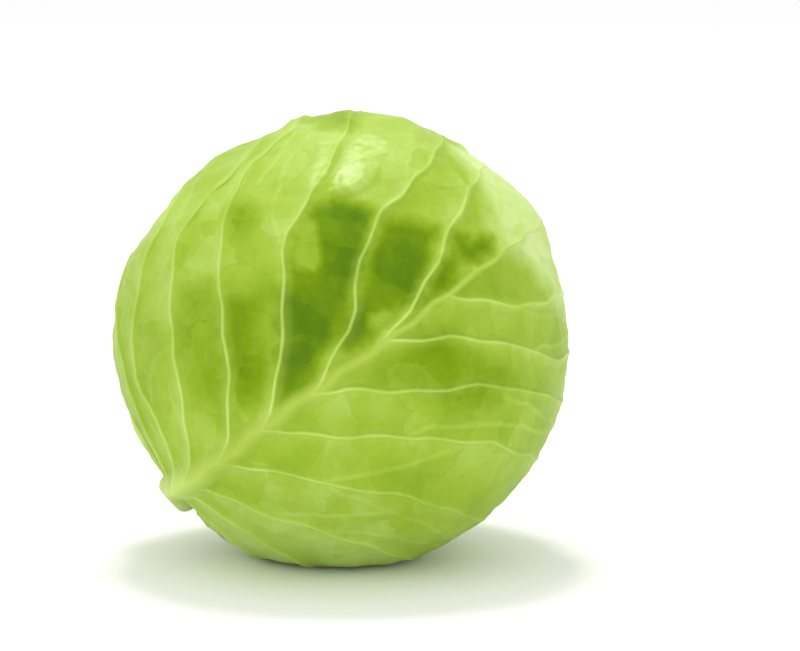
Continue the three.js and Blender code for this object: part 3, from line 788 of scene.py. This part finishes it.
    bloom = math_node("MULTIPLY_ADD", noise(70, 4, on_object), 0.30, 0.30)
    links.new(math_node("MULTIPLY_ADD", glossy, -0.14, bloom), shader.inputs["Roughness"])
    height = math_node("MULTIPLY_ADD", core, 0.5, math_node("MULTIPLY", twig, 0.3))
    height = math_node("MULTIPLY_ADD", net_line, 0.09, height)
    height = math_node("MULTIPLY_ADD", fine_line, 0.05, height)
    height = math_node("ADD", height, math_node("MULTIPLY", noise(190, 3, on_object), 0.35))
    bump = nodes.new("ShaderNodeBump")
    bump.inputs["Strength"].default_value = 0.35
    bump.inputs["Distance"].default_value = 0.0006
    links.new(height, bump.inputs["Height"])
    links.new(bump.outputs["Normal"], shader.inputs["Normal"])
    shader.inputs["Subsurface Weight"].default_value = 0.2
    shader.inputs["Subsurface Radius"].default_value = (0.8, 1.0, 0.2)
    shader.inputs["Subsurface Scale"].default_value = 0.003
    shader.inputs["Specular IOR Level"].default_value = 0.1


build_leaf_skin(leaf_skin)
# Rows and columns of each leaf's blade, from the outermost in
FINENESS = [(250, 86), (150, 52), (170, 56), (120, 40), (130, 44), (120, 40)]
for order, (row_count, column_count) in enumerate(FINENESS):
    blade = make_leaf(order, row_count, column_count)
    blade.data.materials.append(leaf_skin)
    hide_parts(leaves[order].name)
    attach(blade, "root")


# The dense inner head: many more leaves closed over each other, of which only the outermost few show,
# where their overlapping margins make low steps on the round.
INNER_STEP = 1.1
INNER_GAP = 2.4
INNER_ROUNDS = [70, -40, -165, 10, 120]
INNER_TONE = 0.82
INNER_BASE = 0.2
FAR_FROM_VEIN = 20.0
INNER_RIB_WIDTH, INNER_RIB_HEIGHT = 3.0, 0.9
INNER_VEIN_WIDTH, INNER_VEIN_HEIGHT = 1.4, 0.4


def face_outwards(merge_within=0.0):
    """Turn the faces of the object in hand outwards, and first join its doubled points, if any."""
    bpy.ops.object.mode_set(mode="EDIT")
    bpy.ops.mesh.select_all(action="SELECT")
    if merge_within:
        bpy.ops.mesh.remove_doubles(threshold=merge_within)
    bpy.ops.mesh.normals_make_consistent(inside=False)
    bpy.ops.object.mode_set(mode="OBJECT")
    bpy.ops.object.shade_smooth()


inner_folds = [Leaf("inner_fold", WRAPPER_FORM, around, 0.86, 0.92 + 0.04 * k, 5)
               for k, around in enumerate(INNER_ROUNDS)]
bpy.ops.object.select_all(action="DESELECT")
bpy.ops.mesh.primitive_uv_sphere_add(segments=200, ring_count=130, radius=1, calc_uvs=True)
inner_head = bpy.context.object
inner_head.name = "inner_head_leaves"
inner_head.data.name = inner_head.name
ball = places_of(inner_head.data)
u = ball[:, :1] * under + ball[:, 1:2] * front + ball[:, 2:] * crown
u /= np.linalg.norm(u, axis=1)[:, None]
level, bare, free = level_under(len(leaves), u)
face = level - INNER_GAP
open_share = np.ones(len(u))
from_vein = np.full(len(u), FAR_FROM_VEIN)
rib = np.zeros(len(u))
for fold in inner_folds:
    p = fold.drawing_of(u)
    inside = smoothstep(0.55, 0.95, fold.coverage(u))
    face += INNER_STEP * (inside - 1) * free
    shown = inside * open_share > 0.5
    from_vein = np.where(shown, fold.vein_distance(p), from_vein)
    from_midrib = fold.midrib_distance(p) / INNER_RIB_WIDTH
    rib = np.where(shown, 1 - smoothstep(0, RIB_FOOT, from_midrib), rib)
    open_share = open_share * (1 - inside)
face += INNER_VEIN_HEIGHT * np.exp(-((from_vein / INNER_VEIN_WIDTH) ** 2)) + INNER_RIB_HEIGHT * rib
set_places(inner_head.data, u * face[:, None] + [0, 0, CENTRE_HEIGHT])
set_attribute(inner_head.data, "vein", from_vein)
set_attribute(inner_head.data, "rib", rib)
same_all_over = {"tone": INNER_TONE, "margin": 0.0, "fork": FAR_FROM_VEIN, "base": INNER_BASE}
same_all_over |= {name: NO_PATCH for name in PATCHES}
for name, value in same_all_over.items():
    set_attribute(inner_head.data, name, np.full(len(u), value))
inner_head.data.update()
face_outwards()
inner_head.data.materials.append(leaf_skin)
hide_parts("inner_head")
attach(inner_head, "root")


# The stalk, cut short when the head was picked: a firm pale stub with a darker ring of fibres near its
# skin and a drier, browned cut face. The leaf bases grow out of its side.
stalk_skin = bpy.data.materials.new("cut_stalk")
stalk_skin.use_nodes = True
PITH = (0.78, 0.80, 0.55, 1)
STALK_TINTS = [(0.34, (0.50, 0.62, 0.20, 1)), (0.6, (0.42, 0.52, 0.16, 1))]
DRIED = (0.46, 0.40, 0.20, 1)


def build_stalk_skin(material):
    nodes, links = material.node_tree.nodes, material.node_tree.links
    shader = nodes["Principled BSDF"]
    place = nodes.new("ShaderNodeTexCoord")
    grain = nodes.new("ShaderNodeTexNoise")
    grain.inputs["Scale"].default_value = 420
    grain.inputs["Detail"].default_value = 4
    links.new(place.outputs["Object"], grain.inputs["Vector"])
    ring = nodes.new("ShaderNodeAttribute")
    ring.attribute_name = "ring"
    tint = nodes.new("ShaderNodeValToRGB")
    for position, colour in STALK_TINTS:
        element = tint.color_ramp.elements.new(position)
        element.color = colour
    tint.color_ramp.elements[0].color = PITH
    tint.color_ramp.elements[-1].color = DRIED
    blend = nodes.new("ShaderNodeMath")
    blend.operation = "MULTIPLY_ADD"
    links.new(grain.outputs["Fac"], blend.inputs[0])
    blend.inputs[1].default_value = 0.35
    links.new(ring.outputs["Fac"], blend.inputs[2])
    links.new(blend.outputs[0], tint.inputs["Fac"])
    links.new(tint.outputs["Color"], shader.inputs["Base Color"])
    bump = nodes.new("ShaderNodeBump")
    bump.inputs["Strength"].default_value = 0.4
    bump.inputs["Distance"].default_value = 0.0006
    links.new(grain.outputs["Fac"], bump.inputs["Height"])
    links.new(bump.outputs["Normal"], shader.inputs["Normal"])
    shader.inputs["Roughness"].default_value = 0.6
    shader.inputs["Subsurface Weight"].default_value = 0.15
    shader.inputs["Subsurface Scale"].default_value = 0.003


build_stalk_skin(stalk_skin)
# From the core to the cut face: radius and distance from the middle of the head
STALK_PROFILE = [
    (0.0, 6), (3.5, 8), (6, 26), (7.4, 50), (8.2, 70), (8.6, 80), (8.8, 85), (8.6, 87.6),
    (8.0, 89.3), (7.1, 90.5), (6.2, 91.2), (5.6, 91.4), (5.0, 91.3), (4.4, 91.5), (3.6, 91.2),
    (2.0, 91.1), (0.0, 91.0),
]
STALK_SIDES = 72
CUT_FACE_FROM = 91
RING_RADIUS, RING_WIDTH = 4.6, 0.9
bpy.ops.object.select_all(action="DESELECT")
bpy.ops.mesh.primitive_grid_add(
    x_subdivisions=STALK_SIDES, y_subdivisions=len(STALK_PROFILE) - 1, size=2)
stub = bpy.context.object
stub.name = "stalk_stub"
stub.data.name = stub.name
flat = places_of(stub.data)
station = np.rint((flat[:, 1] + 1) / 2 * (len(STALK_PROFILE) - 1)).astype(int)
turn = flat[:, 0] * math.pi
radius, along = np.array(STALK_PROFILE)[station].T
radius = radius * (1 + 0.025 * np.sin(3 * turn + 0.5) + 0.02 * np.sin(5 * turn + 1.3))
stub_axis = -crown
round_a, round_b = front, np.cross(stub_axis, front)
place = (stub_axis * along[:, None] + round_a * (radius * np.cos(turn))[:, None]
         + round_b * (radius * np.sin(turn))[:, None])
set_places(stub.data, place + [0, 0, CENTRE_HEIGHT])
ring = 0.25 * np.exp(-((radius - RING_RADIUS) / RING_WIDTH) ** 2) + 0.12
set_attribute(stub.data, "ring", np.where(along > CUT_FACE_FROM, ring, 0.2))
face_outwards(merge_within=0.00001)
stub.data.materials.append(stalk_skin)
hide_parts("stalk")
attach(stub, "root")


# The floor: a wide pale sheet that the head lies on.
bpy.ops.object.select_all(action="DESELECT")
bpy.ops.mesh.primitive_plane_add(size=12)
floor = bpy.context.object
floor.name = "floor"
floor_paint = bpy.data.materials.new("floor_paint")
floor_paint.use_nodes = True
floor_shader = floor_paint.node_tree.nodes["Principled BSDF"]
floor_shader.inputs["Base Color"].default_value = (0.93, 0.93, 0.93, 1)
floor_shader.inputs["Roughness"].default_value = 0.8
floor.data.materials.append(floor_paint)


# Studio light: a bright white surround, a soft box overhead and a little behind, and weak ones from
# the left and low in front.
world = bpy.data.worlds.new("studio")
bpy.context.scene.world = world
world.use_nodes = True
world.node_tree.nodes["Background"].inputs["Color"].default_value = (1, 1, 1, 1)
world.node_tree.nodes["Background"].inputs["Strength"].default_value = 1.0


def add_softbox(name, place, aim, size, power):
    light = bpy.data.lights.new(name, "AREA")
    light.size = size
    light.energy = power
    box = bpy.data.objects.new(name, light)
    bpy.context.scene.collection.objects.link(box)
    toward = np.array(aim, float) - np.array(place, float)
    box.location = place
    box.rotation_euler = Vector(toward).to_track_quat("-Z", "Y").to_euler()


add_softbox("overhead", (-0.05, 0.35, 1.2), (0, 0, 0.08), 0.3, 7)
add_softbox("left", (-1.1, -0.5, 0.6), (0, 0, 0.08), 0.6, 1.5)
add_softbox("low_front", (0.3, -1.5, 0.12), (0.03, 0, 0.05), 0.9, 6)


# The camera: far off with a long lens, a little above the head and looking at its side.
CAMERA_ELEVATION = math.radians(10)
CAMERA_DISTANCE = 2.5
FRAME_WIDTH = 0.3144  # how much of the scene the picture is wide, at the head
AIM_RIGHT = 0.0232
AIM_UP = 0.0069
camera_data = bpy.data.cameras.new("camera")
camera_data.sensor_width = 36
camera_data.lens = camera_data.sensor_width * CAMERA_DISTANCE / FRAME_WIDTH
camera = bpy.data.objects.new("camera", camera_data)
bpy.context.scene.collection.objects.link(camera)
aim_y = AIM_UP * math.sin(CAMERA_ELEVATION)
aim_z = CENTRE_HEIGHT * 0.001 + AIM_UP * math.cos(CAMERA_ELEVATION)
camera.location = (
    AIM_RIGHT,
    aim_y - CAMERA_DISTANCE * math.cos(CAMERA_ELEVATION),
    aim_z + CAMERA_DISTANCE * math.sin(CAMERA_ELEVATION),
)
camera.rotation_euler = (math.pi / 2 - CAMERA_ELEVATION, 0, 0)
bpy.context.scene.camera = camera
bpy.context.scene.view_settings.view_transform = "Standard"
